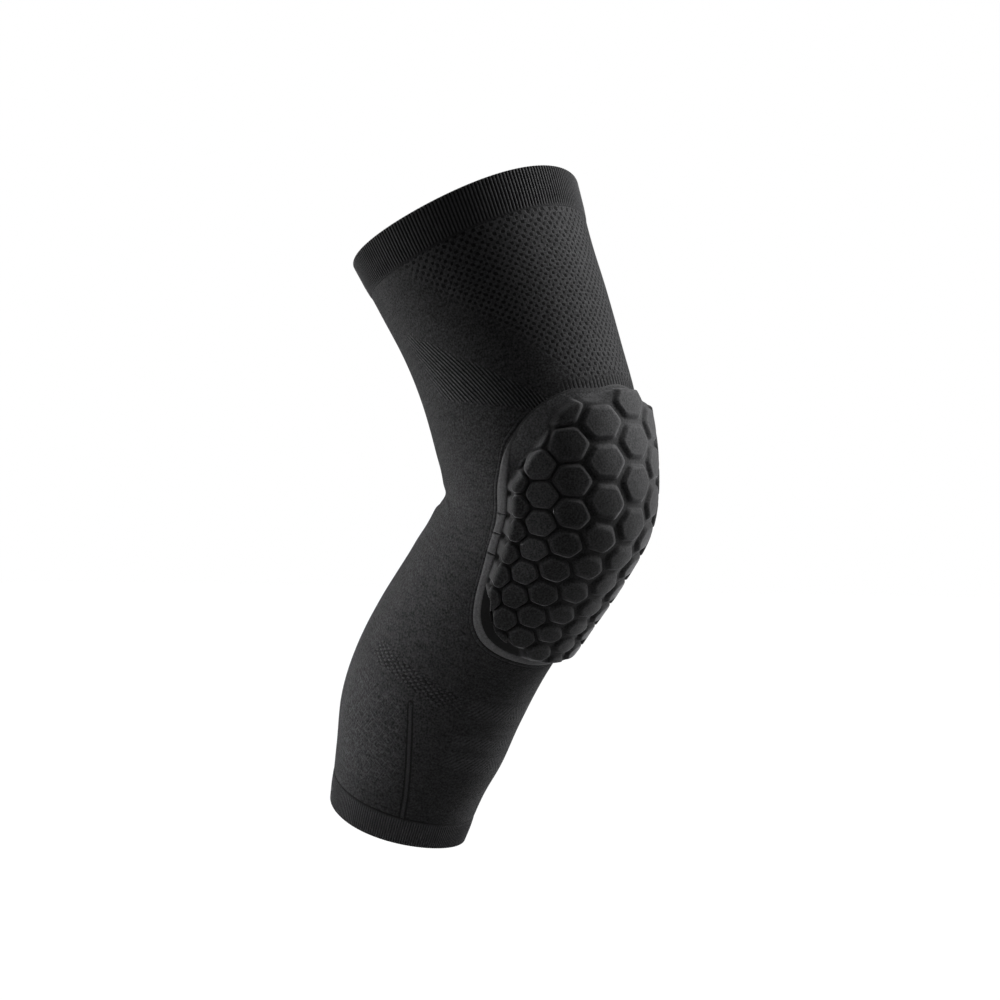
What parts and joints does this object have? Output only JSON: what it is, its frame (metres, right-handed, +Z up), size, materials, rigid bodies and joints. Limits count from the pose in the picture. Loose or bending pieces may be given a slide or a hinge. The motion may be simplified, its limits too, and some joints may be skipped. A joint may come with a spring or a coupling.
{
  "type": "padded leg sleeve",
  "caption": "Black knitted leg sleeve shaped for a bent leg, open at both ends, with ribbed cuffs and a hexagon-celled foam knee pad framed by a flat flange.",
  "frame": {"origin": "middle of the knee, inside the hollow, where the leg holds the sleeve", "axes": "+Z up along the standing leg, -Y the way the knee points, X across the leg"},
  "size_m": [0.1476, 0.222, 0.4198],
  "materials": {
    "sleeve_knit": "matte fine knit",
    "cuff_knit": "matte ribbed knit",
    "pad_foam": "smooth fabric bonded over moulded foam",
    "pad_border": "smooth fabric, heat-pressed flat"
  },
  "bodies": {
    "root": {"thigh_cuff": "cuff_knit", "sleeve_tube": "sleeve_knit", "calf_cuff": "cuff_knit", "pad_flange": "pad_border", "hex_pad": "pad_foam"}
  },
  "joints": []
}
